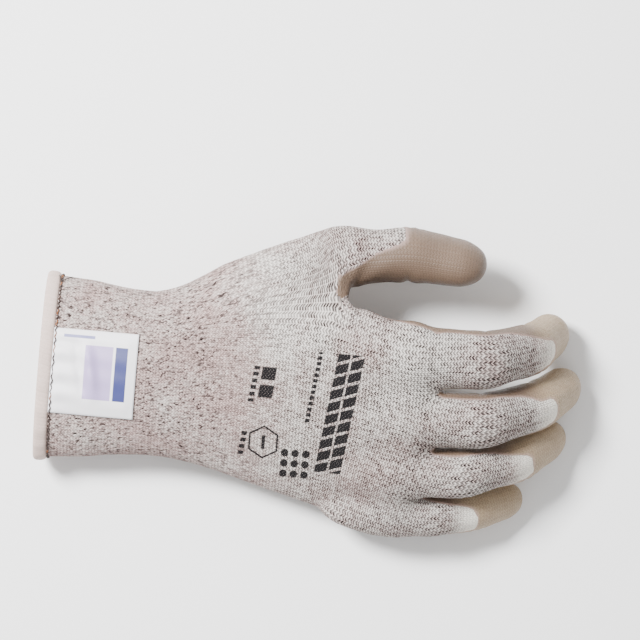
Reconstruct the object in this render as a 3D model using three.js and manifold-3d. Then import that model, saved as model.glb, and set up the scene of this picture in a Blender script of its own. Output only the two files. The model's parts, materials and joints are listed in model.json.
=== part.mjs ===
// A cut-resistant work glove for the right hand: a seamless knitted liner, dipped on the palm side in
// polyurethane, with a bound cuff. Millimetres, +Z up. The glove rests on a table with its palm down and its
// thumb side raised; +X runs from the cuff to the fingertips and +Y points to the thumb side.
//
// The knit and the film are soft, so wherever the glove bends they are split by a bow-tie gap around the
// hinge line: its palm side closes as a finger curls, and its back closes as the finger straightens.
import * as THREE from "three";
import { mergeVertices } from "three/addons/utils/BufferGeometryUtils.js";
import Module from "manifold-3d";

const wasm = await Module();
wasm.setup();

// ---------------------------------------------------------------- driving dimensions, mm and degrees
const KNIT = 1.1; // wall of the knitted liner
const BOND = 0.3; // gap left between layers that lie on each other
const FILM = 0.6; // wall of the polyurethane film
const HALF_GAP = 0.25; // half the gap between two segments at their hinge line
const FREE = 1; // degrees left free past each end of a joint's range

const PALM_ROLL = 22; // how far the thumb side of the knuckles is turned up
const CUFF_LENGTH = 52; // hem to wrist
const COAT_START = 63; // where the film begins, measured along the palm from the hem
const COAT_SLANT = 12; // the film starts this many degrees further on towards the thumb
const FRONT = 166; // the palm is drawn this far, then cut back at the finger roots

const BODY_SIDES = 28;
const STALL_SIDES = 14;
const OVERRUN = 7; // how far a length is drawn past its hinges, before the bow-tie cuts

// Sections from the hem to the finger roots: middle of the section, half width, half depth, roll, and arch
// (how far its two sides droop below its middle).
const BODY = [
  { x: -3, y: 0, z: 17.8, width: 38.6, depth: 16.2, roll: 3, arch: 1 },
  { x: 14, y: 0.2, z: 18.5, width: 37.4, depth: 16.6, roll: 4, arch: 1 },
  { x: 34, y: 0.4, z: 19.6, width: 35, depth: 17.6, roll: 6, arch: 1 },
  { x: 52, y: 0.6, z: 21, width: 35, depth: 18.4, roll: 9, arch: 1 },
  { x: 75, y: 0.6, z: 23, width: 40, depth: 18.2, roll: 14, arch: 1.6 },
  { x: 100, y: -3, z: 28, width: 44.6, depth: 17, roll: 19, arch: 2.4 },
  { x: 125, y: -8, z: 33.4, width: 46, depth: 14, roll: 22, arch: 3 },
  { x: 150, y: -14, z: 36.8, width: 45.4, depth: 10.8, roll: 22, arch: 3.6 },
  { x: 170, y: -14, z: 36.8, width: 45.4, depth: 10.4, roll: 22, arch: 3.6 },
];

// Finger stalls. root is the first hinge: along X, across the knuckles, and up from the plane they lie in.
// fan turns the finger to the thumb side, lean tips the plane it curls in, and curl is the pitch of each
// length.
// width and depth are half sizes of the knit at the three hinges and at the tip.
const FINGERS = {
  index: {
    root: [152, 33.8, 38.4], fan: 0.6, lean: 19.4, bones: [30, 26.5, 29], curl: [5.5, 43.5, 67],
    width: [11.2, 10.3, 9.5, 8.2], depth: [10, 9.4, 8.6, 7.4],
    knit: 16, root_range: [-12, 45], knuckle: [-30, 50],
  },
  middle: {
    root: [152, 7.4, 41.4], fan: 2, lean: 26, bones: [31, 28, 29], curl: [2.5, 36.5, 57],
    width: [11, 10.2, 9.2, 8], depth: [10, 9.4, 8.6, 7.4],
    knit: 16, root_range: [-12, 45], knuckle: [-28, 50],
  },
  ring: {
    root: [149, -16.8, 41.2], fan: 3, lean: 32, bones: [28, 26, 28], curl: [0, 29, 49],
    width: [10.3, 9.6, 8.9, 7.8], depth: [9.6, 9, 8.2, 7],
    knit: 16, root_range: [-12, 45], knuckle: [-24, 50],
  },
  little: {
    root: [143, -38, 37.2], fan: 1.5, lean: 32, bones: [23, 17.5, 24], curl: [2, 18, 32],
    width: [8.8, 8.5, 8.1, 7], depth: [8.6, 8, 7.4, 6.4],
    knit: 12, root_range: [-12, 45], knuckle: [-12, 50],
  },
};
const TIP_RATIO = 0.7; // the last hinge of a finger turns this much of its knuckle's angle

// The thumb stall: its first hinge in table axes, then the yaw, pitch and length of its two lengths.
// lean is how far the way it curls is turned from straight down towards the palm.
const THUMB = {
  root: [117, 55.5, 30], yaw: [7.7, -4.6], pitch: [1, 4], lean: 62, bones: [30, 33],
  width: [12, 11.2, 9], depth: [11.4, 10.4, 8.4], knit: 6, root_range: [-25, 5], knuckle: [-15, 15],
};
const THUMB_BASE = { from: [60, 20, 22], at: [0, 0.35, 0.72, 1], radius: [14, 18, 16.6, 12.4] };
const WRIST_RANGE = [-25, 25];

// ---------------------------------------------------------------- vectors and solids
const rad = THREE.MathUtils.degToRad;
const V = (x, y, z) => new THREE.Vector3(x, y, z);
const turned = (v, axis, degrees) => v.clone().applyAxisAngle(axis, rad(degrees));
const along = (start, direction, length) => start.clone().addScaledVector(direction, length);
const EAST = V(1, 0, 0);
const UP = V(0, 0, 1);

function manifold(positions, faces) {
  const of = (triVerts) =>
    new wasm.Manifold(new wasm.Mesh({ numProp: 3, vertProperties: positions, triVerts }));
  const made = of(new Uint32Array(faces));
  return made.volume() > 0 ? made : of(new Uint32Array(faces).reverse());
}

function solid(points, faces) {
  const geometry = new THREE.BufferGeometry();
  geometry.setAttribute("position", new THREE.Float32BufferAttribute(points.flatMap((p) => p.toArray()), 3));
  geometry.setIndex(faces);
  const merged = mergeVertices(geometry, 1e-4);
  return manifold(merged.attributes.position.array, merged.index.array);
}

function centreOf(ring) {
  return ring.reduce((total, p) => total.add(p), V(0, 0, 0)).divideScalar(ring.length);
}

// Rings of points joined by quads, with a fan of triangles over each end; or joined end to end when looped.
function loft(rings, looped = false) {
  const sides = rings[0].length;
  const points = rings.flat();
  const faces = [];
  for (let k = 0; k < (looped ? rings.length : rings.length - 1); k++) {
    const a = k * sides;
    const b = ((k + 1) % rings.length) * sides;
    for (let i = 0; i < sides; i++) {
      const j = (i + 1) % sides;
      faces.push(a + i, a + j, b + j, a + i, b + j, b + i);
    }
  }
  if (looped) return solid(points, faces);
  const last = (rings.length - 1) * sides;
  const start = points.push(centreOf(rings[0])) - 1;
  const end = points.push(centreOf(rings.at(-1))) - 1;
  for (let i = 0; i < sides; i++) {
    const j = (i + 1) % sides;
    faces.push(start, j, i, end, last + i, last + j);
  }
  return solid(points, faces);
}

// A prism on a convex outline: [a, b] in the plane of u and v, run along w from low to high.
function prism(outline, origin, u, v, w, low, high) {
  const ring = (t) => outline.map(([a, b]) => along(along(along(origin, u, a), v, b), w, t));
  return loft([ring(low), ring(high)]);
}

// Everything on the side of a plane that its normal points to.
function halfSpace(point, normal) {
  const n = normal.clone().normalize();
  const u = n.clone().cross(Math.abs(n.x) < 0.9 ? EAST : UP).normalize();
  const v = n.clone().cross(u);
  const big = 400;
  return prism([[-big, -big], [big, -big], [big, big], [-big, big]], point, u, v, n, 0, big);
}

// ---------------------------------------------------------------- sections of the body
function bodyCurve(key) {
  const points = new THREE.CatmullRomCurve3(BODY.map((s) => V(s.x, s[key], 0))).getPoints(400);
  return (x) => {
    const next = Math.max(1, points.findIndex((p) => p.x >= x));
    const [a, b] = [points[next - 1], points[next]];
    return a.y + ((b.y - a.y) * (x - a.x)) / (b.x - a.x);
  };
}
const bodyAt = Object.fromEntries(
  ["y", "z", "width", "depth", "roll", "arch"].map((key) => [key, bodyCurve(key)]),
);

// A point of the section at x, its surface moved out by offset: angle 0 is the thumb side, 90 the back.
function bodyPoint(x, degrees, offset) {
  const [c, s] = [Math.cos(rad(degrees)), Math.sin(rad(degrees))];
  const across = Math.sign(c) * Math.abs(c) ** 0.88;
  const up = Math.sign(s) * Math.abs(s) ** 0.92;
  const wide = across * (bodyAt.width(x) + offset);
  const high = up * (bodyAt.depth(x) + offset) - bodyAt.arch(x) * across * across;
  return turned(V(0, wide, high), EAST, bodyAt.roll(x)).add(V(x, bodyAt.y(x), bodyAt.z(x)));
}

function bodyRing(x, offset) {
  return Array.from({ length: BODY_SIDES }, (_, i) => bodyPoint(x, (360 * i) / BODY_SIDES, offset));
}

function bodySolid(stations, offset) {
  return loft(stations.map((x) => bodyRing(x, offset)));
}

// ---------------------------------------------------------------- the stalls
// A chain holds the hinge points, the direction of each length and the hinge axis at its start.
function chainFrom(start, bones, directions, axis) {
  const points = [start];
  bones.forEach((length, i) => points.push(along(points[i], directions[i], length)));
  return { points, directions, axis, bones };
}

function fingerChain({ root, fan, lean, bones, curl }) {
  const [x, across, up] = root;
  const straight = turned(EAST, UP, fan);
  const palmward = turned(V(0, Math.sin(rad(lean)), -Math.cos(rad(lean))), UP, fan);
  const axis = straight.clone().cross(palmward).normalize();
  const directions = curl.map((pitch) => turned(straight, axis, pitch));
  return chainFrom(turned(V(x, across, up), EAST, PALM_ROLL), bones, directions, axis);
}

function thumbChain({ root, yaw, pitch, lean, bones }) {
  const directions = yaw.map((degrees, i) => turned(turned(EAST, V(0, 1, 0), pitch[i]), UP, degrees));
  const palmward = V(0, -Math.sin(rad(lean)), -Math.cos(rad(lean)));
  const axis = directions[0].clone().cross(palmward).normalize();
  return chainFrom(V(...root), bones, directions, axis);
}

// A ring of a stall: its width lies along the hinge axis, and its depth from palm side to back.
function stallRing(centre, direction, axis, width, depth) {
  const back = direction.clone().cross(axis).normalize();
  const across = back.clone().cross(direction).normalize();
  return Array.from({ length: STALL_SIDES }, (_, i) => {
    const angle = (2 * Math.PI * i) / STALL_SIDES;
    return along(along(centre, across, Math.cos(angle) * width), back, Math.sin(angle) * depth);
  });
}

// Length i of a stall as a solid, its surface moved out by offset and drawn over past its hinges.
// The last length ends in a dome.
function stallSolid(chain, spec, i, offset, over) {
  const { points, directions, axis, bones } = chain;
  const ring = (t, width, depth) =>
    stallRing(along(points[i], directions[i], t), directions[i], axis, width, depth);
  const size = (list, t) => list[i] + ((list[i + 1] - list[i]) * t) / bones[i] + offset;
  const tube = (t) => ring(t, size(spec.width, t), size(spec.depth, t));
  if (i < bones.length - 1) return loft([-over, bones[i] + over].map(tube));
  const dome = bones[i] - spec.width[i + 1];
  const domed = [30, 56, 76].map((degrees) => {
    const shrink = Math.cos(rad(degrees));
    const t = dome + (spec.width[i + 1] + offset) * Math.sin(rad(degrees));
    return ring(t, size(spec.width, dome) * shrink, size(spec.depth, dome) * shrink);
  });
  return loft([tube(-over), tube(dome), ...domed]);
}

function stallShell(chain, spec, i, inner, outer) {
  return stallSolid(chain, spec, i, outer, OVERRUN).subtract(stallSolid(chain, spec, i, inner, OVERRUN + 1));
}

// What a segment must leave free past a hinge. side 1 clears what lies beyond it, and side -1 what lies
// before it.
// reach is how far the clearance goes to the back and the palm, low and high how far along the hinge axis.
function hingeCut({ pivot, axis, before, after, range }, side, reach = 16, low = -60, high = 60) {
  const sum = before.clone().add(after);
  const way = along(sum, axis, -sum.dot(axis)).normalize();
  const back = way.clone().cross(axis).normalize();
  way.multiplyScalar(side);
  const [extend, flex] = range.map((limit) => rad(Math.abs(limit) / 2 + FREE));
  const outline = [
    [0, 0],
    [-Math.tan(flex) * reach, -reach],
    [140, -reach],
    [140, reach],
    [-Math.tan(extend) * reach, reach],
  ];
  return prism(outline, along(pivot, way, -HALF_GAP), way, back, axis, low, high);
}

// ---------------------------------------------------------------- hinges
const chains = Object.fromEntries(Object.entries(FINGERS).map(([name, spec]) => [name, fingerChain(spec)]));
chains.thumb = thumbChain(THUMB);
const STALLS = { ...FINGERS, thumb: THUMB };
const thumbBaseStart = V(...THUMB_BASE.from);
const thumbBaseWay = chains.thumb.points[0].clone().sub(thumbBaseStart).normalize();

// The hinges of a stall, from its root to its last length.
function hingesOf(name) {
  const { points, directions, axis } = chains[name];
  const spec = STALLS[name];
  const ranges = [spec.root_range, spec.knuckle, spec.knuckle.map((limit) => limit * TIP_RATIO)];
  return directions.map((after, i) => {
    const before = i > 0 ? directions[i - 1] : name === "thumb" ? thumbBaseWay : EAST;
    return { pivot: points[i], axis, before, after, range: ranges[i] };
  });
}
const hinges = Object.fromEntries(Object.keys(STALLS).map((name) => [name, hingesOf(name)]));
const wrist = {
  pivot: V(CUFF_LENGTH, bodyAt.y(CUFF_LENGTH), bodyAt.z(CUFF_LENGTH)),
  axis: turned(V(0, 1, 0), EAST, bodyAt.roll(CUFF_LENGTH)),
  before: EAST,
  after: EAST,
  range: WRIST_RANGE,
};

// ---------------------------------------------------------------- assembly
const COLOURS = {
  knit: { color: 0xd9d3cc, roughness: 0.95 },
  film: { color: 0x9c8d7f, roughness: 0.6 },
  binding: { color: 0xb3a59b, roughness: 0.85 },
  thread: { color: 0x4a2a1c, roughness: 0.8 },
  elastic: { color: 0xe8e4dc, roughness: 0.7 },
  label: { color: 0xf4f3f6, roughness: 0.4 },
};
const FLOOR = halfSpace(V(0, 0, 0), UP);
const pieces = [];

function addPiece(name, made, finish) {
  pieces.push({ name, made: made.intersect(FLOOR), finish });
}

// --- palm: the body from the wrist to the finger roots, with the swelling that carries the thumb
function palmSolid(offset, over) {
  const body = bodySolid([CUFF_LENGTH - over, 62, 75, 88, 100, 112, 125, 138, 150, FRONT + over - 5], offset);
  const { axis } = chains.thumb;
  const atRoot = thumbBaseWay.clone().add(chains.thumb.directions[0]).normalize();
  const way = (t) => (t < 1 ? thumbBaseWay : atRoot);
  const length = chains.thumb.points[0].distanceTo(thumbBaseStart);
  const stations = [...THUMB_BASE.at, 1 + over / length];
  const radii = [...THUMB_BASE.radius, THUMB_BASE.radius.at(-1)];
  const rings = stations.map((t, k) => {
    const radius = radii[k] + offset;
    return stallRing(along(thumbBaseStart, thumbBaseWay, t * length), way(t), axis, radius, radius * 0.94);
  });
  return body.add(loft(rings));
}

// The gap in front of the palm, finger by finger, each out to half way to its neighbours.
function frontCuts() {
  const names = Object.keys(FINGERS);
  const roots = names.map((name) => chains[name].points[0]);
  const half = (i, j) => (roots[j] ? roots[i].distanceTo(roots[j]) / 2 + 0.4 : 30);
  return names.map((name, i) => hingeCut(hinges[name][0], 1, 24, -half(i, i + 1), half(i, i - 1)));
}

const palmCuts = [
  ...frontCuts(),
  hingeCut(hinges.thumb[0], 1, 15, -18, 18),
  hingeCut(wrist, -1, 40),
];
const cutFrom = (made, cuts) => cuts.reduce((left, cut) => left.subtract(cut), made);

const palmKnit = palmSolid(0, 6).subtract(palmSolid(-KNIT, 7));
addPiece("palm_knit", cutFrom(palmKnit, palmCuts), "knit");

const palmSide = V(0, Math.sin(rad(20)), -Math.cos(rad(20)));
const thumbPalmSide = chains.thumb.axis.clone().cross(chains.thumb.directions[0]);
const coatStart = turned(EAST, UP, COAT_SLANT);
const palmFilm = palmSolid(BOND + FILM, 6)
  .subtract(palmSolid(BOND, 7))
  .intersect(halfSpace(V(100, -4, 28), palmSide))
  .intersect(halfSpace(along(chains.thumb.points[0], thumbPalmSide, -1), thumbPalmSide))
  .intersect(halfSpace(V(80, 0, 26), V(0.4, 0, -1)))
  .intersect(halfSpace(V(COAT_START, 0, 0), coatStart));
addPiece("palm_coating", cutFrom(palmFilm, palmCuts), "film");

// --- finger and thumb stalls
const SEGMENTS = { finger: ["proximal", "middle", "distal"], thumb: ["proximal", "distal"] };

for (const [name, spec] of Object.entries(STALLS)) {
  const chain = chains[name];
  const segments = name === "thumb" ? SEGMENTS.thumb : SEGMENTS.finger;
  segments.forEach((segment, i) => {
    const cuts = [hingeCut(hinges[name][i], -1)];
    if (i < segments.length - 1) cuts.push(hingeCut(hinges[name][i + 1], 1));
    addPiece(`${name}_${segment}_knit`, cutFrom(stallShell(chain, spec, i, -KNIT, 0), cuts), "knit");
    const palmward = chain.axis.clone().cross(chain.directions[i]);
    let coated = halfSpace(along(chain.points[i], palmward, -1), palmward);
    if (i === segments.length - 1) {
      const tipStart = along(chain.points[i], chain.directions[i], spec.knit);
      coated = coated.add(halfSpace(tipStart, chain.directions[i]));
    }
    const film = stallShell(chain, spec, i, BOND, BOND + FILM).intersect(coated);
    addPiece(`${name}_${segment}_coating`, cutFrom(film, cuts), "film");
  });
}

// --- cuff: the ribbed knit, the binding folded over its raw edge, the stitching, elastic and label
const HEM = { from: -3, width: 6.5, bulge: 1.9, slot: 1.4 };
const cuffStations = [HEM.from + HEM.slot, 8, 19, 30, 41];
const cuffKnit = bodySolid([...cuffStations, CUFF_LENGTH + 5], 0)
  .subtract(bodySolid([HEM.from, ...cuffStations, CUFF_LENGTH + 6], -KNIT))
  .subtract(hingeCut(wrist, 1, 40));
addPiece("cuff_knit", cuffKnit, "knit");

const hemProfile = [[0, 0.5], [1, HEM.bulge], [HEM.width - 1, HEM.bulge], [HEM.width, 0.7]];
const hemRing = (x, offset) => bodyRing(HEM.from + x, offset);
const hemOutside = loft(hemProfile.map(([x, bulge]) => hemRing(x, bulge)));
const hemHollow = [[-1, -0.5], ...hemProfile, [HEM.width + 1, 0.7]].map(
  ([x, bulge]) => hemRing(x, -KNIT - bulge),
);
const slot = [HEM.slot - BOND, HEM.width + 1];
const rawEdge = loft(slot.map((x) => hemRing(x, BOND))).subtract(
  loft([0, 10].map((x) => hemRing(x, -KNIT - BOND))),
);
addPiece("hem_binding", hemOutside.subtract(loft(hemHollow)).subtract(rawEdge), "binding");

// A thread of square section along a path of points that lie on the body, closed on itself or not.
function thread(path, radius, looped) {
  const count = path.length;
  const rings = path.map((point, i) => {
    const ahead = path[looped ? (i + 1) % count : Math.min(i + 1, count - 1)];
    const behind = path[looped ? (i + count - 1) % count : Math.max(i - 1, 0)];
    const way = ahead.clone().sub(behind).normalize();
    const side = way.clone().cross(EAST).normalize();
    const over = side.clone().cross(way);
    return [0, 1, 2, 3].map((k) => {
      const angle = (k * Math.PI) / 2;
      return along(along(point, side, Math.cos(angle) * radius), over, Math.sin(angle) * radius);
    });
  });
  return loft(rings, looped);
}

const STITCH = { x: 4.6, swing: 0.5, radius: 0.45, perSide: 2 };
const stitchCount = BODY_SIDES * STITCH.perSide;
const stitchPath = Array.from({ length: stitchCount }, (_, i) => {
  const x = STITCH.x + (i % 2 ? STITCH.swing : -STITCH.swing);
  return bodyPoint(x, (360 * i) / stitchCount, BOND + STITCH.radius);
});
addPiece("hem_stitching", thread(stitchPath, STITCH.radius, true), "thread");

const ELASTIC = { from: 8, pitch: 7, turns: 5, radius: 0.4, perTurn: 28 };
const elasticPath = Array.from({ length: ELASTIC.turns * ELASTIC.perTurn + 1 }, (_, i) => {
  const turn = i / ELASTIC.perTurn;
  return bodyPoint(ELASTIC.from + ELASTIC.pitch * turn, 360 * turn, -KNIT - BOND - ELASTIC.radius - 0.2);
});
addPiece("cuff_elastic_yarn", thread(elasticPath, ELASTIC.radius, false), "elastic");

const LABEL = { from: 6, to: 39, low: -19, high: 17, thickness: 0.4 };
const labelStations = [LABEL.from, 19, 30, LABEL.to];
const labelOutline = [[0, LABEL.low], [60, LABEL.low], [60, LABEL.high], [0, LABEL.high]];
const label = bodySolid(labelStations, BOND + LABEL.thickness)
  .subtract(bodySolid([LABEL.from - 1, ...labelStations, LABEL.to + 1], BOND))
  .intersect(prism(labelOutline, V(0, 0, 20), EAST, V(0, 1, 0), UP, 0, 40));
addPiece("label", label, "label");

// ---------------------------------------------------------------- the glove, centred over its footprint
const box = new THREE.Box3();
for (const { made } of pieces) {
  const { min, max } = made.boundingBox();
  box.expandByPoint(V(...min)).expandByPoint(V(...max));
}
const middle = box.getCenter(V(0, 0, 0)).setZ(box.min.z);
const glove = new THREE.Group();
for (const { name, made, finish } of pieces) {
  const { vertProperties, triVerts } = made.translate([-middle.x, -middle.y, -middle.z]).getMesh();
  const geometry = new THREE.BufferGeometry();
  geometry.setAttribute("position", new THREE.BufferAttribute(vertProperties, 3));
  geometry.setIndex(new THREE.BufferAttribute(triVerts, 1));
  const mesh = new THREE.Mesh(geometry, new THREE.MeshStandardMaterial({ ...COLOURS[finish], metalness: 0 }));
  mesh.name = name;
  glove.add(mesh);
}

export { hinges, wrist, middle, box };
export default glove;
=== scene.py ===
# %% [markdown]
# # A cut-resistant glove
# A glove like this is knitted in one piece on a round machine, thirteen needles to the inch, from a yarn
# that blades don't part easily. It is then pulled over a curved steel hand and dipped, palm first, in
# polyurethane. Everything below follows those steps: one skin of knit, a film that grips its palm side,
# and the small sewn parts at the cuff. Lengths are in millimetres until a mesh is made. x runs from the
# hem to the fingertips, y to the thumb's side and z up.

import json
import math

import bmesh
import bpy
import numpy as np
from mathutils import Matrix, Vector, noise

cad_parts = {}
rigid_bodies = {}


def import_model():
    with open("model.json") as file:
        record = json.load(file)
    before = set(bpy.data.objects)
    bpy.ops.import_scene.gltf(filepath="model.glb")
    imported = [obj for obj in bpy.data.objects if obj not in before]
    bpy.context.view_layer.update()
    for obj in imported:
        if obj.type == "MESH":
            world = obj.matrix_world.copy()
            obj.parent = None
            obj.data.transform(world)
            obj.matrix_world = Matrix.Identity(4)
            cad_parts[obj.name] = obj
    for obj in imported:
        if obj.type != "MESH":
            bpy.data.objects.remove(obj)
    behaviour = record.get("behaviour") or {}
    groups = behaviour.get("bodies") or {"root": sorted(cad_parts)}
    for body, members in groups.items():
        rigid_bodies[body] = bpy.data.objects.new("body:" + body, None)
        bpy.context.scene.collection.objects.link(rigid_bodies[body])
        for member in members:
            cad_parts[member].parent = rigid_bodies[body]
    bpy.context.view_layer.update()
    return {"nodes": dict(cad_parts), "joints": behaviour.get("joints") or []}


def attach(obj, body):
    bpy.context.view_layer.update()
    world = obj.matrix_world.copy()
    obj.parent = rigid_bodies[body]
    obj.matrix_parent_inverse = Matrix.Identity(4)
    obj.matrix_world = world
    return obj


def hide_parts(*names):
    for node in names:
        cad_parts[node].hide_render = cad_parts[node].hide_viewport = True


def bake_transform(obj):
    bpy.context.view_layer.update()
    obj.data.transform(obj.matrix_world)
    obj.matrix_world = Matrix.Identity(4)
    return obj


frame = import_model()
MM = 0.001
JOINTS = {joint["name"]: joint for joint in frame["joints"]}


def hinge(name):
    """A joint's place in millimetres and its axis."""
    return np.array(JOINTS[name]["pos_m"]) / MM, np.array(JOINTS[name]["axis"])


def node_points(name):
    """The corners of a CAD node, in millimetres."""
    mesh = frame["nodes"][name].data
    points = np.empty(len(mesh.vertices) * 3)
    mesh.vertices.foreach_get("co", points)
    return points.reshape(-1, 3) / MM


# %% [markdown]
# ## The hand inside
# An empty glove keeps the shape of the steel hand it was dipped on, so the shape starts from that hand.
# Its body is a row of oval sections from the hem to the knuckles. It could be sculpted, but sections in
# a table are easy to measure and change. Each section rolls a little more, so the knuckles turn up on
# the thumb's side.

# %% The body's sections
WRIST_X, WRIST_Y = 52.0, 0.6  # the wrist from the hem's middle, as in the CAD
wrist_at, _ = hinge("wrist_bend")
SHIFT = np.array([wrist_at[0] - WRIST_X, wrist_at[1] - WRIST_Y, 0.0])
BODY_END = 150.0  # the body closes in a round edge past here
SECTION_POWERS = (0.88, 0.92)  # below 1, an oval's corners fill out a little

# x, y, z of the middle, half width, half depth, roll to the thumb side, droop of the sides
BODY = np.array(
    [
        [-3, 0.0, 17.8, 38.6, 16.2, 3, 1.0],
        [14, 0.2, 18.5, 37.4, 16.6, 4, 1.0],
        [34, 0.4, 19.6, 35.0, 17.6, 6, 1.0],
        [52, 0.6, 21.0, 35.0, 18.4, 9, 1.0],
        [75, 0.6, 23.0, 40.0, 18.2, 14, 1.6],
        [100, -3.0, 28.0, 44.6, 17.0, 19, 2.4],
        [125, -8.2, 33.4, 46.6, 14.0, 22, 3.0],
        [150, -14.0, 36.8, 46.2, 10.8, 22, 3.6],
        [170, -14.0, 36.8, 46.2, 10.4, 22, 3.6],
    ]
)


def smooth(x, low, high):
    """0 up to low, 1 from high, and a smooth rise between."""
    t = np.clip((x - low) / (high - low), 0, 1)
    return t * t * (3 - 2 * t)


def full(x, power):
    """x with its size raised to a power and its sign kept."""
    return np.sign(x) * np.abs(x) ** power


def through(table, x):
    """A smooth curve through a table's rows, read at x. Each row starts with its own x."""
    x = np.asarray(x, float)
    keys = table[:, 0]
    k = np.clip(np.searchsorted(keys, x) - 1, 0, len(keys) - 2)
    slopes = np.gradient(table[:, 1:], keys, axis=0)
    span = (keys[k + 1] - keys[k])[..., None]
    t = np.clip((x - keys[k]) / (keys[k + 1] - keys[k]), 0, 1)[..., None]
    a, b = table[k, 1:], table[k + 1, 1:]
    ma, mb = slopes[k] * span, slopes[k + 1] * span
    return (
        a * (1 + 2 * t) * (1 - t) ** 2
        + b * t * t * (3 - 2 * t)
        + ma * t * (1 - t) ** 2
        + mb * t * t * (t - 1)
    )


def body_point(x, degrees, grow=0.0):
    """Points on the section at x: 0 degrees is the thumb side, 90 the back of the hand."""
    x, degrees = np.broadcast_arrays(np.asarray(x, float), np.asarray(degrees, float))
    y, z, width, depth, roll, arch = np.moveaxis(through(BODY, x), -1, 0)
    across = full(np.cos(np.radians(degrees)), SECTION_POWERS[0])
    up = full(np.sin(np.radians(degrees)), SECTION_POWERS[1])
    wide = across * (width + grow)
    high = up * (depth + grow) - arch * across**2
    roll = np.radians(roll)
    y = y + wide * np.cos(roll) - high * np.sin(roll)
    z = z + wide * np.sin(roll) + high * np.cos(roll)
    return np.stack([x, y, z], axis=-1) + SHIFT


def in_section(q, roll, y, z):
    """A point's place across and up from the middle of its own rolled section."""
    roll = np.radians(roll)
    dy, dz = q[:, 1] - y, q[:, 2] - z
    return dy * np.cos(roll) + dz * np.sin(roll), -dy * np.sin(roll) + dz * np.cos(roll)


def body_reach(p):
    """About how far points are outside the body, in mm. It ends in a round edge past the knuckles."""
    q = p - SHIFT
    y, z, width, depth, roll, arch = through(BODY, np.clip(q[:, 0], BODY[0, 0], BODY_END)).T
    wide, high = in_section(q, roll, y, z)
    wide = wide / width
    high = (high + arch * wide**2) / depth
    past = np.maximum(q[:, 0] - BODY_END, 0) / depth
    size = (np.abs(wide) ** 2.25 + np.abs(high) ** 2.15 + past**2.15) ** (1 / 2.2)
    return (size - 1) * depth


print("body sections:", len(BODY))

# %% [markdown]
# A stall is the tube for one finger. Its middle line goes through the finger's own hinges, so the cloth
# is already bent where the joints are. It runs back into the palm and narrows there, so that the stall
# and the palm can melt into each other.

# %% The stalls
# half widths, then half depths, of each stall at its hinges and its tip
STALLS = {
    "index": ([12.8, 12.1, 10.4, 9.1], [10.4, 10.0, 9.0, 8.0]),
    "middle": ([12.3, 11.4, 10.0, 8.8], [10.4, 10.0, 9.0, 8.0]),
    "ring": ([11.0, 10.3, 9.4, 8.4], [10.0, 9.4, 8.6, 7.4]),
    "little": ([9.6, 9.4, 8.8, 7.6], [9.0, 8.4, 7.8, 6.8]),
    "thumb": ([12.4, 11.6, 9.8], [11.6, 10.6, 9.0]),
}
ORDER = list(STALLS)
NAMES = ORDER[:4]  # the fingers
FINGER = (["root", "middle", "tip"], ["proximal", "middle", "distal"])  # joints and segments
THUMB = (["root", "knuckle"], ["proximal", "distal"])
STEP = 0.5  # spacing of the points along a stall's middle line
BACKWARD = 30.0  # how far a stall's line runs back into the palm
TURN_HALF = 6.0  # a bend in the line starts this far before its hinge
TIP_SLACK = 0.6  # points this close to the farthest one count as the tip
STALL_POWER = 0.94


def make_stall(name, width, depth):
    """The middle line of a stall, bent smoothly at its hinges."""
    joints, segments = FINGER if name in NAMES else THUMB
    pivots = [hinge(f"{name}_{joint}_bend")[0] for joint in joints]
    axis = hinge(f"{name}_{joints[0]}_bend")[1]
    far = node_points(f"{name}_{segments[-1]}_knit")
    reach = np.linalg.norm(far - pivots[-1], axis=1)
    pivots.append(far[reach > reach.max() - TIP_SLACK].mean(axis=0))
    pivots = np.array(pivots)
    ways = np.diff(pivots, axis=0)
    bones = np.linalg.norm(ways, axis=1)
    ways /= bones[:, None]
    stations = np.concatenate([[0], np.cumsum(bones)])
    t = np.arange(-BACKWARD, stations[-1] + STEP, STEP)
    way = np.repeat(ways[:1], len(t), axis=0)
    for i in range(1, len(ways)):
        turn = smooth(t, stations[i] - TURN_HALF, stations[i] + TURN_HALF)[:, None]
        way += (ways[i] - ways[i - 1]) * turn
    way /= np.linalg.norm(way, axis=1)[:, None]
    line = pivots[0] + np.cumsum(way * STEP, axis=0)
    line += pivots[0] - line[np.argmin(np.abs(t))]
    sink = np.interp(t, [-24, -2], [0.5, 1])  # the tube narrows where it runs back into the palm
    back = np.cross(way, axis)
    back /= np.linalg.norm(back, axis=1)[:, None]
    return {
        "segments": segments, "pivots": pivots, "stations": stations, "length": stations[-1],
        "t": t, "line": line, "way": way, "back": back, "across": np.cross(back, way),
        "width": np.interp(t, stations, width) * sink, "depth": np.interp(t, stations, depth) * sink,
    }


stalls = {name: make_stall(name, *sizes) for name, sizes in STALLS.items()}


def stall_at(stall, t, key):
    """A stall's table read at t."""
    values = stall[key]
    if values.ndim == 1:
        return np.interp(t, stall["t"], values)
    return np.stack([np.interp(t, stall["t"], values[:, k]) for k in range(3)], axis=-1)


def stall_point(stall, t, degrees):
    """Points on a stall's surface: 0 degrees is the thumb side, 90 the back."""
    t, degrees = np.broadcast_arrays(np.asarray(t, float), np.asarray(degrees, float))
    wide = stall_at(stall, t, "width") * full(np.cos(np.radians(degrees)), STALL_POWER)
    high = stall_at(stall, t, "depth") * full(np.sin(np.radians(degrees)), STALL_POWER)
    return (
        stall_at(stall, t, "line")
        + stall_at(stall, t, "across") * wide[..., None]
        + stall_at(stall, t, "back") * high[..., None]
    )


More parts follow.
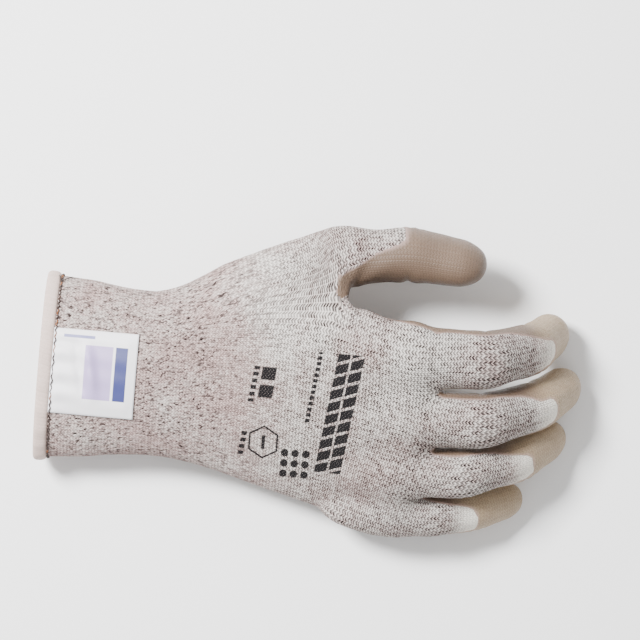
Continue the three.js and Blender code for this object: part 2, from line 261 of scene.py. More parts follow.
def locate(stall, p):
    """For each point: its t along the stall, and its place across and up from the middle line."""
    gap = ((p[:, None, :] - stall["line"][None, ::2, :]) ** 2).sum(axis=2)
    k = np.argmin(gap, axis=1) * 2
    off = p - stall["line"][k]
    t = stall["t"][k] + (off * stall["way"][k]).sum(axis=1)
    return t, (off * stall["across"][k]).sum(axis=1), (off * stall["back"][k]).sum(axis=1)


def stall_reach(stall, p):
    """About how far points are outside a stall, in mm."""
    t, wide, high = locate(stall, p)
    width, depth = stall_at(stall, t, "width"), stall_at(stall, t, "depth")
    past = np.maximum(-18 - t, 0) / width
    return (np.sqrt((wide / width) ** 2 + (high / depth) ** 2 + past**2) - 1) * depth


for name, stall in stalls.items():
    print(name, "length", round(stall["length"], 1))

# %% [markdown]
# The palm swells towards the thumb's root, over the muscle there. The swelling is a spindle with its own
# radii, and `union` joins it and the stalls to the body with soft fillets, as stretched cloth would.

# %% The base of the thumb
THUMB_BASE = {"from": [60, 20, 22], "at": [0, 0.35, 0.72, 1], "radius": [14, 18, 16.2, 11.8]}
thumb_start = np.array(THUMB_BASE["from"]) + SHIFT
thumb_base_way = stalls["thumb"]["pivots"][0] - thumb_start
thumb_base_length = np.linalg.norm(thumb_base_way)
thumb_base_way /= thumb_base_length


def thumb_base_reach(p):
    """About how far points are outside the swelling at the base of the thumb."""
    off = p - thumb_start
    t = np.clip(off @ thumb_base_way / thumb_base_length, 0, 1.05)
    gap = np.linalg.norm(off - t[:, None] * thumb_base_way * thumb_base_length, axis=1)
    return gap - np.interp(t, THUMB_BASE["at"], THUMB_BASE["radius"])


def union(a, b, soft):
    """Two distances joined into one shape, with a fillet about as wide as soft."""
    h = np.clip(0.5 + 0.5 * (b - a) / soft, 0, 1)
    return b * (1 - h) + a * h - soft * h * (1 - h)


print("thumb base length", round(float(thumb_base_length), 1))

# %% [markdown]
# ## One knitted tube that branches
# On the machine the glove is a single tube that splits into five smaller ones. The mesh is made the same
# way: rings of points run from the hem to the crotch of the thumb, then to the crotches of the fingers,
# and at each crotch a short chain of points closes the web. The columns of the mesh are the wales of the
# knit and its rings are the courses, so the stitches later follow the cloth round every curve. A remesh
# would lose that.

# %% Columns and rings
BACK, SIDE = 8, 4  # columns on the back or palm of one finger, and on its side
STALL_COLUMNS = 2 * (BACK + SIDE)
ROW = BACK * len(NAMES)
LITTLE_SIDE, PALM_SIDE = ROW, ROW + SIDE
THUMB_SIDE = PALM_SIDE + ROW
THUMB_COLUMNS = STALL_COLUMNS - SIDE
AROUND = THUMB_SIDE + THUMB_COLUMNS
WALES = 1.5  # wales in one column
COURSE = 1.3  # height of one course, mm
RING = 3.0  # distance between rings, mm

THUMB_CROTCH_X = 121.0
CROTCHES = {"index": 163.0, "middle": 162.5, "ring": 153.5}  # between each finger and the next one
CORNER = 28.0  # degrees between the side of a finger and the edge of its back

EVEN_UNTIL = 30.0  # up to here all columns are equally wide
LEAN_POWER = 1.25  # how late the thumb's columns swing from the wrist to the thumb
points, faces, face_uv, face_part = [], [], [], []


def add_points(new):
    start = len(points)
    points.extend(np.asarray(new, float))
    return list(range(start, len(points)))


def add_band(low, high, u, v, part):
    """A strip of quads between two rows of points. u has a value for each column's edge, v for each row."""
    for i in range(len(low) - 1):
        faces.append((low[i], low[i + 1], high[i + 1], high[i]))
        face_uv.append(((u[i], v[0]), (u[i + 1], v[0]), (u[i + 1], v[1]), (u[i], v[1])))
        face_part.append(part)


def add_loop(low, high, u, v, part):
    """A band that closes on itself."""
    add_band(low + low[:1], high + high[:1], u, v, part)


def lengths(p):
    """How far each point is along the line of points."""
    return np.concatenate([[0], np.cumsum(np.linalg.norm(np.diff(p, axis=0), axis=1))])


def spread(x, start, end, count):
    """count + 1 angles from start to end, evenly spaced along the section at x."""
    angles = np.linspace(start, end, 120)
    length = lengths(body_point(x, angles))
    return np.interp(np.linspace(0, length[-1], count + 1), length, angles)


def even_keys(x):
    """The angles of the five corner columns where all the columns are equally wide."""
    angles = np.linspace(0, 360, 720)
    length = lengths(body_point(x, angles))
    at = (np.array([0, LITTLE_SIDE, PALM_SIDE, THUMB_SIDE, AROUND]) + THUMB_COLUMNS / 2) / AROUND
    keys = np.interp(at % 1, length / length[-1], angles)
    keys[-1] += 360
    return keys


HAND_KEYS = np.array([CORNER, 180 - CORNER, 180 + CORNER, 360 - CORNER, 360 + CORNER])
U = [i * WALES for i in range(AROUND + 1)]


def body_ring(x, share):
    """One ring of the body, share of the way from even columns to the hand's own corners."""
    keys = even_keys(x) * (1 - share) + HAND_KEYS * share
    counts = [ROW, SIDE, ROW, THUMB_COLUMNS]
    pieces = [spread(x, keys[i], keys[i + 1], counts[i])[:-1] for i in range(4)]
    return body_point(x, np.concatenate(pieces))


print("columns round the palm:", AROUND)

# %% [markdown]
# The thumb leaves the body at a slant. So the columns on its side swing round with each ring, from the
# plain oval of the wrist to a round ring about the thumb's root. The last ring's two corners are the
# web's ends.

# %% From the hem to the crotch of the thumb
thumb = stalls["thumb"]
root = thumb["pivots"][0]
thumb_way = thumb_base_way + thumb["way"][np.argmin(np.abs(thumb["t"]))]
thumb_way /= np.linalg.norm(thumb_way)
to_palm = np.array([0.0, -0.84, 0.54])
to_palm -= thumb_way * (to_palm @ thumb_way)
to_palm /= np.linalg.norm(to_palm)
to_back = np.cross(to_palm, thumb_way)
THUMB_RADIUS = 12.4
WEB_ANGLE = 30.0  # half of the arc of the thumb's ring that the web takes up


def thumb_ring_point(degrees):
    """Round the thumb's root: 0 degrees faces the palm, and the angle grows over the palm side."""
    a = np.radians(degrees)[:, None]
    return root + THUMB_RADIUS * (np.cos(a) * to_palm - np.sin(a) * to_back)


first, last = BODY[0, 0] + 1, THUMB_CROTCH_X - RING
count = round((last - first) / RING)
stations = np.linspace(first, last, count + 1)
thumb_arc = thumb_ring_point(np.linspace(WEB_ANGLE, 360 - WEB_ANGLE, THUMB_COLUMNS + 1)[:-1])
body_rings = []
for x in stations:
    ring = body_ring(x, smooth(x, EVEN_UNTIL, last))
    lean = np.clip((x - WRIST_X) / (last - WRIST_X), 0, 1) ** LEAN_POWER
    ring[THUMB_SIDE:] = ring[THUMB_SIDE:] * (1 - lean) + thumb_arc * lean
    body_rings.append(ring)

# the two corners of the thumb's web lie half way between the hand and the thumb
corner_back = (body_point(last, CORNER) + thumb_ring_point(np.array([-WEB_ANGLE]))[0]) / 2
corner_palm = (body_point(last, -CORNER) + thumb_ring_point(np.array([WEB_ANGLE]))[0]) / 2
body_rings[-1][0] = corner_back
body_rings[-1][THUMB_SIDE] = corner_palm
rows = [add_points(ring) for ring in body_rings]
for j in range(len(rows) - 1):
    add_loop(rows[j], rows[j + 1], U, [stations[j] / COURSE, stations[j + 1] / COURSE], 0)

WEB_BULGE = np.array([5.0, 2.5, 0])  # the web's middle stands out from the line between its corners
bulge = np.array([0.72, 1.0, 0.72])[:, None]
between = np.linspace(0, 1, SIDE + 1)[1:-1, None]
thumb_chain = add_points(corner_palm + (corner_back - corner_palm) * between + WEB_BULGE * bulge)
print("rings to the thumb:", len(rows))

# %% [markdown]
# Past the thumb the tube goes on over the palm. Its last ring isn't flat: it reaches each finger at that
# finger's own crotch, the little finger's being the lowest.

# %% From the thumb to the fingers
web_x = np.interp(
    np.arange(THUMB_SIDE + SIDE),
    [0, 8, 16, 24, 32, 36, 44, 52, 60, 68, 72],
    [159, 160, 159.5, 150.5, 148.5, 148.5, 150.5, 159.5, 160, 159, 159],
)
palm_row = rows[-1][: THUMB_SIDE + 1] + thumb_chain
palm_rows = [palm_row]
count = round((web_x[0] - last) / RING)
v_palm = last / COURSE
u_side = [(THUMB_SIDE + i) * WALES for i in range(SIDE + 1)]
u_palm = U[: THUMB_SIDE + 1] + u_side[1:]
for j in range(1, count + 1):
    x = last + (web_x - last) * j / count
    sides = zip(HAND_KEYS[:-1], HAND_KEYS[1:], [ROW, SIDE, ROW, SIDE])
    angles = [spread(x.mean(), start, end, n)[:-1] for start, end, n in sides]
    palm_rows.append(add_points(body_point(x, np.concatenate(angles))))
    v = [v_palm + RING * (j - 1) / COURSE, v_palm + RING * j / COURSE]
    add_loop(palm_rows[-2], palm_rows[-1], u_palm, v, 0)
v_web = v_palm + RING * count / COURSE
print("rings over the palm:", count)

# %% [markdown]
# Between two fingers a web of three points hangs from the back of the hand to the palm. Each web sits
# half way between the two stalls' middle lines.

# %% The webs between the fingers
WEB_HIGH, WEB_STEP, WEB_BACK = 0.72, 0.4, 3.0  # share of the depth to a corner and a point, and mm back
web = palm_rows[-1]
chains = {}
for f, name in enumerate(NAMES[:-1]):
    here, there = stalls[name], stalls[NAMES[f + 1]]
    top, bottom = web[BACK * (f + 1)], web[PALM_SIDE + BACK * (3 - f)]
    x = CROTCHES[name] + SHIFT[0]
    k_here = np.argmin(np.abs(here["line"][:, 0] - x))
    k_there = np.argmin(np.abs(there["line"][:, 0] - x))
    middle = (here["line"][k_here] + there["line"][k_there]) / 2
    up = here["back"][k_here] + there["back"][k_there]
    up /= np.linalg.norm(up)
    depth = here["depth"][k_here]
    for corner, side in ((top, 1), (bottom, -1)):
        points[corner] = middle + up * depth * WEB_HIGH * side - np.array([WEB_BACK, 0, 0])
    chains[name] = add_points([middle + up * depth * k * WEB_STEP for k in (1, 0, -1)])
print("webs:", len(chains))

# %% [markdown]
# Each stall starts from the points round its opening, which belong to the palm and the webs. Rings then
# run out along it to a domed tip. A pole of triangles would pinch there, so a square patch closes it.

# %% Stalls
TIP_ANGLES = [20, 38, 53]  # rings over the dome, in degrees from its edge
TIP_COURSES = 2  # courses to each row of the patch
stall_rows = {}


def patch_grid(edge, on_dome, wide, high):
    """A grid of points over the end of a stall. Its edge is the last ring, read as rows and columns."""
    n, m = BACK, SIDE
    top = list(range(0, n + 1))
    right = list(range(n, n + m + 1))
    bottom = list(range(2 * n + m, n + m - 1, -1))
    left = [(STALL_COLUMNS - i) % STALL_COLUMNS for i in range(m + 1)]
    grid = np.zeros((n + 1, m + 1), int)
    grid[0], grid[n] = np.array(edge)[left], np.array(edge)[right]
    grid[:, 0], grid[:, m] = np.array(edge)[top], np.array(edge)[bottom]
    for i in range(1, n):
        for j in range(1, m):
            a, b = i / n, j / m
            flat = []
            for value in (wide, high):
                side = (1 - a) * value[left[j]] + a * value[right[j]]
                end = (1 - b) * value[top[i]] + b * value[bottom[i]]
                ends = (1 - a) * (1 - b) * value[top[0]] + a * (1 - b) * value[top[-1]]
                ends += (1 - a) * b * value[bottom[0]] + a * b * value[bottom[-1]]
                flat.append(np.array([side + end - ends]))
            grid[i, j] = add_points(on_dome(*flat))[0]
    return grid


def run_stall(name, first, part, v, angles):
    """Rings from the web to the tip, a dome, and a square patch over the end."""
    stall = stalls[name]
    dome = stall["length"] - stall["width"][-1]
    start, _, _ = locate(stall, np.array([points[i] for i in first]))
    count = max(6, round((dome - start.mean()) / RING))
    rows = [first]

    def add_ring(ring):
        nonlocal v
        rows.append(add_points(ring))
        add_loop(rows[-2], rows[-1], U[: STALL_COLUMNS + 1], [v, v + RING / COURSE], part)
        v += RING / COURSE

    for r in range(1, count + 1):
        add_ring(stall_point(stall, start + (dome - start) * r / count, angles))
    width, depth = stall["width"][-1], stall["depth"][-1]
    centre = stall_at(stall, dome, "line")
    way, across, back = (stall_at(stall, dome, key) for key in ("way", "across", "back"))

    def on_dome(wide, high):
        past = np.sqrt(np.clip(1 - (wide / width) ** 2 - (high / depth) ** 2, 0, 1)) * width
        return centre + across * wide[:, None] + back * high[:, None] + way * past[:, None]

    c, s = np.cos(np.radians(angles)), np.sin(np.radians(angles))
    for angle in TIP_ANGLES:
        lift = math.cos(math.radians(angle))
        wide, high = c * width * lift, s * depth * lift
        add_ring(on_dome(wide, high))
    grid = patch_grid(rows[-1], on_dome, wide, high)
    for j in range(SIDE):
        v_row = [v + TIP_COURSES * j, v + TIP_COURSES * (j + 1)]
        add_band(list(grid[:, j]), list(grid[:, j + 1]), U[: BACK + 1], v_row, part)
    stall_rows[name] = rows


quarters = zip(HAND_KEYS[:-1], HAND_KEYS[1:], [BACK, SIDE, BACK, SIDE])
finger_angles = np.concatenate([np.linspace(a, b, n + 1)[:-1] for a, b, n in quarters])
for f, name in enumerate(NAMES):
    top = web[BACK * f : BACK * (f + 1) + 1]
    start = PALM_SIDE + BACK * (3 - f)
    bottom = [web[i % len(web)] for i in range(start, start + BACK + 1)]
    outer = chains[name] if f < 3 else web[LITTLE_SIDE + 1 : PALM_SIDE]
    inner = chains[NAMES[f - 1]][::-1] if f > 0 else web[THUMB_SIDE + 1 :]
    run_stall(name, top + outer + bottom + inner, f + 1, v_web, finger_angles)

thumb_first = rows[-1][THUMB_SIDE:] + [rows[-1][0]] + thumb_chain[::-1]
thumb_points = np.array([points[i] for i in thumb_first])
t, wide, high = locate(thumb, thumb_points)
thumb_root = np.argmin(np.abs(thumb["t"]))
thumb_turn = np.arctan2(high / thumb["depth"][thumb_root], wide / thumb["width"][thumb_root])
thumb_turn = np.degrees(np.unwrap(thumb_turn))
even_step = np.sign(thumb_turn[-1] - thumb_turn[0]) * 360 / STALL_COLUMNS
even_turn = thumb_turn[0] + even_step * np.arange(STALL_COLUMNS)
even_turn += (thumb_turn - even_turn).mean()
run_stall("thumb", thumb_first, 5, last / COURSE, even_turn)
print("cage:", len(points), "points", len(faces), "faces")

# %% [markdown]
# ## Filling the skin out
# The rings so far are a cage. Each point is drawn towards its neighbours and then pushed back onto the
# shape of the hand, where the body, the thumb's swelling and the stalls run into each other with soft
# fillets. The points of the webs are only smoothed, so each crotch stays where it is.

# %% Smooth and press onto the hand
cage = np.array(points)
quads = np.array(faces)
PASSES = 14
FOLLOW, WEB_FOLLOW = 0.6, 0.12  # how far a point moves to its neighbours' middle in one pass
FILLET, THUMB_FILLET, ROOT_FILLET = 5, 11, 4  # mm: fingers to body, thumb to body, thumb to its swelling
PRESSED_ROWS = {name: 4 for name in NAMES} | {"thumb": 7}  # rows of each stall that are pressed
edges = np.concatenate([quads[:, [k, (k + 1) % 4]] for k in range(4)])
edges = np.unique(np.sort(edges, axis=1), axis=0)
degree = np.bincount(edges.ravel(), minlength=len(cage))[:, None]


def neighbours_mean(p):
    total = np.zeros_like(p)
    np.add.at(total, edges[:, 0], p[edges[:, 1]])
    np.add.at(total, edges[:, 1], p[edges[:, 0]])
    return total / degree


# 0 is the body, 1 to 5 the first rows of a stall, and -1 is held still
owner = np.full(len(cage), -1)
for row in rows + palm_rows:
    owner[row] = 0
owner[cage[:, 0] < WRIST_X + SHIFT[0] - 8] = -1
for f, name in enumerate(ORDER, 1):
    for row in stall_rows[name][1 : 1 + PRESSED_ROWS[name]]:
        owner[row] = f
is_web = np.zeros(len(cage), bool)
for chain in [*chains.values(), thumb_chain]:
    is_web[chain] = True


def hand_reach(p, group):
    """How far points are outside the part of the hand that their own group of the skin covers."""
    reach = body_reach(p)
    if group in (0, 5):
        thumb_reach = union(thumb_base_reach(p), stall_reach(stalls["thumb"], p), ROOT_FILLET)
        reach = union(reach, thumb_reach, THUMB_FILLET)
    for f, name in enumerate(NAMES, 1):
        if group in (0, f):
            reach = union(reach, stall_reach(stalls[name], p), FILLET)
    return reach


def press(p, group):
    """Moves points onto the hand, along the way its reach grows."""
    step = 0.2
    reach = hand_reach(p, group)
    slope = np.stack([(hand_reach(p + np.eye(3)[k] * step, group) - reach) / step for k in range(3)], axis=1)
    size = np.maximum((slope**2).sum(axis=1), 0.15)[:, None]
    return p - np.clip(reach, -4, 4)[:, None] * slope / size


for _ in range(PASSES):
    mean = neighbours_mean(cage)
    loose = (owner >= 0) & ~is_web
    cage[loose] += (mean[loose] - cage[loose]) * FOLLOW
    cage[is_web] += (mean[is_web] - cage[is_web]) * WEB_FOLLOW
    for group in range(6):
        members = np.where((owner == group) & ~is_web)[0]
        cage[members] = press(cage[members], group)
print("pressed", int((owner >= 0).sum()), "points")

# %% [markdown]
# One level of Catmull-Clark subdivision rounds the cage off and gives about one quad for each stitch.
# Its result is read back into arrays, because folding and cutting are easier there than in modifiers.

# %% Round it off
def build_mesh(name, p, polygons):
    """A mesh from points and polygons, in the units of the points."""
    mesh = bpy.data.meshes.new(name)
    mesh.from_pydata([tuple(q) for q in p], [], [tuple(int(i) for i in q) for q in polygons])
    return mesh


def add_object(name, mesh):
    obj = bpy.data.objects.new(name, mesh)
    bpy.context.scene.collection.objects.link(obj)
    return obj


def write_uv(mesh, name, uv):
    mesh.uv_layers.new(name=name).data.foreach_set("uv", np.asarray(uv, np.float32).ravel())


def read(data, key, kind, width):
    """One property of every point, loop or face, as an array."""
    values = np.empty(len(data) * width, kind)
    data.foreach_get(key, values)
    return values.reshape(-1, width) if width > 1 else values


skin_mesh = build_mesh("skin", cage, quads)
write_uv(skin_mesh, "knit", face_uv)
part_layer = skin_mesh.attributes.new("part", "INT", "FACE")
part_layer.data.foreach_set("value", np.array(face_part, np.int32))
skin_object = add_object("skin", skin_mesh)
subdivide = skin_object.modifiers.new("round", "SUBSURF")
subdivide.levels = 1
subdivide.boundary_smooth = "ALL"
subdivide.uv_smooth = "NONE"
evaluated = skin_object.evaluated_get(bpy.context.evaluated_depsgraph_get())
rounded = bpy.data.meshes.new_from_object(evaluated)
bpy.data.objects.remove(skin_object)

skin = read(rounded.vertices, "co", np.float32, 3).astype(float)
corners = read(rounded.loops, "vertex_index", np.int32, 1).reshape(-1, 4)
corner_uv = read(rounded.uv_layers["knit"].data, "uv", np.float32, 2).reshape(-1, 4, 2)
parts = read(rounded.attributes["part"].data, "value", np.int32, 1)
print("skin:", len(skin), "points", len(corners), "quads")

# %% [markdown]
# ## Where everything is on the glove
# Folds, film and print all need to know where a point lies: how far along which stall, and how far
# across it and up from its middle. Each point gets those three numbers.

# %% Places on the skin
def noise_at(p, scale, seed=0.0):
    """Smooth noise from -1 to 1 at each point, with features about scale mm across."""
    return np.array([noise.noise(Vector(q) / scale + Vector((seed, seed * 0.7, -seed))) for q in p])


part_of = np.zeros(len(skin), int)
part_of[corners.ravel()] = np.repeat(parts, 4)
along = np.zeros(len(skin))
wide = np.zeros(len(skin))
high = np.zeros(len(skin))
on_stall = {name: part_of == f for f, name in enumerate(ORDER, 1)}
on_body = part_of == 0
for name, members in on_stall.items():
    along[members], wide[members], high[members] = locate(stalls[name], skin[members])
q = skin[on_body] - SHIFT
y, z, width, depth, roll, arch = through(BODY, q[:, 0]).T
wide[on_body], high[on_body] = in_section(q, roll, y, z)
high[on_body] += arch * (wide[on_body] / width) ** 2
print("points on the body:", int(on_body.sum()))

# %% [markdown]
# The film covers whatever touched the dip: the palm, the palm side of each stall and all of each tip. A
# painted mask would do, but a signed depth into the coated side also says where the film thins, and
# noise makes its edge wander as a real dip line does.

# %% Where the film lies
# how far the film comes back over the top of each tip, and how high up the sides its edge lies there
TIP_COAT = {"index": 25, "middle": 27, "ring": 27, "little": 25, "thumb": 34}
SIDE_COAT = {"index": 7.0, "middle": 6.8, "ring": 6.4, "little": 5.4, "thumb": 10.0}
SIDE_EDGE = 1.5  # how far the edge lies to the back of the middle line, along the sides
COAT_START, COAT_SLANT = 63.0, 0.2  # where the film starts on the palm, and its slant in radians
HEEL_X, HEEL_Z, HEEL_SLOPE = 80.0, 26.0, 0.4  # the edge climbs along the heel of the palm
depth_in = np.zeros(len(skin))
tongue = {name: stalls[name]["length"] - TIP_COAT[name] for name in ORDER}  # where the bare back ends
for name, members in on_stall.items():
    t, end = along[members], tongue[name]
    rise = smooth(t, -6, end + 4) if name == "thumb" else smooth(t, end - 26, end + 2)
    edge = SIDE_EDGE + 0.12 * wide[members] * (1 - rise) + (SIDE_COAT[name] - SIDE_EDGE) * rise
    if name != "thumb":
        edge += 0.24 * np.abs(wide[members]) * rise
    depth_in[members] = -union(high[members] - edge, end - t, 3)
x_part, y_part, z_part = (skin - SHIFT).T
palm_edge = SIDE_EDGE + 0.04 * wide - high
thumb_edge = 1 - (skin - thumb["pivots"][0]) @ thumb["back"][thumb_root]
start = (x_part - COAT_START) * math.cos(COAT_SLANT) - y_part * math.sin(COAT_SLANT)
heel = (HEEL_Z + HEEL_SLOPE * (x_part - HEEL_X) - z_part) / math.hypot(1, HEEL_SLOPE)
depth_in[on_body] = np.min([palm_edge, thumb_edge, start, heel], axis=0)[on_body]
depth_in += 0.8 * noise_at(skin, 9, 3) + 0.3 * noise_at(skin, 3, 5)
print("coated share", round(float((depth_in > 0).mean()), 2))

# %% [markdown]
# Three more numbers tint the cloth. A painted highlight lies on the bare tops of the fingers just
# before the film, and the same number gives the film over the fingertips its lighter tone. The knit is
# stretched open by the hand but not by the cuff. And the tone of the yarn drifts slowly, and with it
# blotches of painted shade on the film.

# %% Shades over the skin
# painted highlight on the knit just before each finger's film, and the film's lighter tip tone past it
highlight_and_tip_tone = np.zeros(len(skin))
for name in NAMES:
    members = on_stall[name]
    highlight_and_tip_tone[members] = smooth(along[members], tongue[name] - 13, tongue[name] + 1)
stretch = np.where(part_of > 0, 1.0, smooth(x_part, 62, 118))
drift = np.clip(0.5 + 0.55 * noise_at(skin, 30, 11) + 0.35 * noise_at(skin, 10, 13), 0, 1)
fields = {"coat": depth_in, "highlight_and_tip_tone": highlight_and_tip_tone, "stretch": stretch, "drift": drift}
print("fields:", list(fields))

# %% [markdown]
# ## Folds
# A former-dipped glove is nearly smooth. It shows the knuckles of the steel hand, soft creases where the
# stalls are bent, and shallow folds that fan out from the crotch of the thumb. Film holds the cloth in
# that shape, so a cloth simulation has nothing to add: each fold is a formula that lifts the skin along
# its normals.

# %% Creases and folds
def normals_of(p, polygons):
    """Area-weighted normals of a mesh of quads."""
    a, b = p[polygons[:, 2]] - p[polygons[:, 0]], p[polygons[:, 3]] - p[polygons[:, 1]]
    face = np.cross(a, b)
    total = np.zeros_like(p)
    for k in range(4):
        np.add.at(total, polygons[:, k], face)
    return total / np.maximum(np.linalg.norm(total, axis=1), 1e-9)[:, None]


normals = normals_of(skin, corners)
if ((skin - skin.mean(axis=0)) * normals).sum(axis=1).mean() < 0:
    corners = corners[:, ::-1]
    corner_uv = corner_uv[:, ::-1]
    normals = -normals

lift = 0.35 * noise_at(skin, 22, 1) + 0.18 * noise_at(skin, 8, 2)
for name, members in on_stall.items():
    stall = stalls[name]
    t, up = along[members], high[members] / stall_at(stall, along[members], "depth")
    for station in stall["stations"][1:-1]:
        near = t - station
        back_side, palm_side = np.clip(up, 0, 1), np.clip(-up, 0, 1)
        lift[members] += 0.5 * back_side * np.exp(-((near / 7) ** 2))
        lift[members] -= 0.22 * back_side * np.exp(-((near / 4) ** 2)) * np.cos(near * 2.1)
        lift[members] -= 0.6 * palm_side * np.exp(-((near / 2.0) ** 2))
        lift[members] += 0.5 * palm_side * np.exp(-(((np.abs(near) - 4.5) / 3) ** 2))
FAN_FOLDS, FAN_REACH = 9, 16  # folds in a full turn round the crotch, and how far they go
crotch_at = np.array([points[i] for i in thumb_chain]).mean(axis=0)
off = skin - crotch_at
around = np.arctan2(off[:, 1], off[:, 0])
distance = np.linalg.norm(off, axis=1)
fan = np.exp(-distance / FAN_REACH) * smooth(distance, 2, 8) * ~on_stall["index"]
lift += 0.7 * fan * np.cos(around * FAN_FOLDS + 0.6 * noise_at(skin, 12, 7))
lift *= smooth(x_part, 3, 16)
skin += normals * lift[:, None]
skin[:, 2] = np.maximum(skin[:, 2], 0.35)
normals = normals_of(skin, corners)
print("folds up to", round(float(np.abs(lift).max()), 2), "mm")


# %% [markdown]
# ## Finishes as sums
# A stitch, a fleck or a printed block is easiest to write as a formula. `Value` wraps a socket, so that
# `1 - mask` or `height * 0.5` adds the Math nodes by itself, and `Finish.node` adds any other node.
# Wiring the same finishes by hand takes hundreds of clicks.

# %% A small language for finishes
class Value:
    """A number that varies over a surface."""

    def __init__(self, finish, socket):
        self.finish, self.socket = finish, socket

    def math(self, operation, *others):
        inputs = dict(enumerate([self, *others]))
        return self.finish.node("Math", {"operation": operation}, inputs)

    def __add__(self, other):
        return self.math("ADD", other)

    def __sub__(self, other):
        return self.math("SUBTRACT", other)

    def __mul__(self, other):
        return self.math("MULTIPLY", other)

    def __rsub__(self, other):
        return self.finish.node("Math", {"operation": "SUBTRACT"}, {0: other, 1: self})

    __radd__, __rmul__ = __add__, __mul__

    def abs(self):
        return self.math("ABSOLUTE")

    def floor(self):
        return self.math("FLOOR")

    def fraction(self):
        return self.math("FRACT")

    def wave(self):
        """1 at each whole number and 0 half way between two."""
        return (self.fraction() * 2 - 1).abs()

    def most(self, other):
        return self.math("MAXIMUM", other)

    def rise(self, low, high):
        """0 below low, 1 above high, smooth between. With low above high it falls instead."""
        inputs = {"Value": self, "From Min": low, "From Max": high}
        return self.finish.node("MapRange", {"interpolation_type": "SMOOTHSTEP"}, inputs)


class Finish:
    """A material and the nodes that paint it. Its constants are the shader's own sockets."""

    def __init__(self, name, **constants):
        self.material = bpy.data.materials.new(name)
        self.material.use_nodes = True
        self.tree = self.material.node_tree
        self.shader = self.tree.nodes["Principled BSDF"]
        for key, value in constants.items():
            self.shader.inputs[key.replace("_", " ")].default_value = value

    def node(self, kind, settings=None, inputs=None, output=0):
        """Adds a node: its settings first, then a value or a link for each socket."""
        node = self.tree.nodes.new("ShaderNode" + kind)
        for key, value in (settings or {}).items():
            setattr(node, key, value)
        for key, value in (inputs or {}).items():
            if isinstance(value, Value):
                self.tree.links.new(value.socket, node.inputs[key])
            else:
                node.inputs[key].default_value = value
        return Value(self, node.outputs[output])

    def layer(self, name):
        """The two numbers of a UV layer."""
        split = self.node("SeparateXYZ", {}, {0: self.node("UVMap", {"uv_map": name})})
        return split, Value(self, split.socket.node.outputs[1])

    def field(self, name):
        return self.node("Attribute", {"attribute_name": name}, output=2)

    def pair(self, a, b):
        return self.node("CombineXYZ", {}, {0: a, 1: b})

    def mix(self, mask, a, b):
        """Colour a where the mask is 0 and b where it is 1."""
        return self.node("Mix", {"data_type": "RGBA"}, {0: mask, 6: a, 7: b}, output=2)

    def paint(self, **links):
        for key, value in links.items():
            self.tree.links.new(value.socket, self.shader.inputs[key.replace("_", " ")])
        return self.material

    def bumps(self, height, distance, strength=1.0):
        inputs = {"Height": height, "Distance": distance * MM, "Strength": strength}
        return self.node("Bump", {}, inputs)


print("finishes can be written as sums")

# %% [markdown]
# ## The knit
# A stitch is a V: two legs that lean towards each other. Its height is worked out from the wale and the
# course, which gives the bumps, and the same numbers pick a shade for each leg. Real loops of yarn would
# need millions of faces.

# %% Stitches
WHITE_2D = {"noise_dimensions": "2D"}
LEG_LEAN = 0.6  # how much of a course a leg climbs from the middle of its wale to the edge
PALE_YARN = (0.93, 0.87, 0.81, 1)
# painted highlight on the bare knit just before the film
PAINTED_HIGHLIGHT_YARN = (0.97, 0.92, 0.82, 1)
WARM_YARN = (0.60, 0.43, 0.40, 1)
# dark fibre in the flecks, and painted shade in the pores and low parts of the stitches
DARK_FIBRE_AND_SHADE = (0.010, 0.007, 0.007, 1)
INK = (0.012, 0.011, 0.012, 1)


def stitches(finish):
    """Height of the knit from 0 to 1, a mask of painted shade in the pores between stitches, and a random
    number for each leg.
    """
    wale, course = finish.layer("knit")
    side = wale.wave()
    climb = course + side * LEG_LEAN
    across = (side * 2 - 1).abs()
    up = climb.wave()
    height = (1 - up * up) * (1 - across * across * 0.75)
    pore_shade = up.rise(0.05, 0.42) * side.rise(-0.2, 0.25)
    leg = finish.pair((wale * 2).floor(), climb.floor())
    chance = finish.node("TexWhiteNoise", WHITE_2D, {"Vector": leg})
    return height, pore_shade, chance, wale, course


print("a leg climbs", LEG_LEAN, "of a course")

# %% [markdown]
# The back carries a plain black print: a band of slanted blocks, dashes, dots, two squares and a
# hexagon. They are decoration only. Each is a block or a rounded mask over millimetres, so its edges
# stay sharp at any distance. The ink lies on the tops of the stitches and misses the gaps.

# %% Print
PRINT_LEAN = 0.12  # the print slants across the back as it goes to the thumb's side
BAND, BAND_SIZE = (123.4, -9), (11, 50)
DASHES, DASHES_SIZE = (112.0, 1), (2.0, 30)
DOTS, DOT_PITCH = (106.6, -31.4), 4.4
SQUARES, SQUARE_SIZE = [(93.0, 5.2), (92.4, -2.2)], (6, 5.4)
HEXAGON, HEXAGON_LINE = (93, -23.4), (5.35, 6.15)  # its middle, and the line's inner and outer edges
BAR_SIZE = (1.6, 6)
SMALL_ROWS = [((87.2, 0.5), (2.4, 15)), ((84.4, -24), (2.4, 11))]
SOFT = 0.15  # half the softness of an inked edge


def block(x, y, middle, size, lean=0.0):
    """1 inside a block of that size. It leans along x as y grows."""
    across = (x - middle[0] - (y - middle[1]) * lean).abs() - size[0] / 2
    along = (y - middle[1]).abs() - size[1] / 2
    return across.most(along).rise(0.25, -0.25)


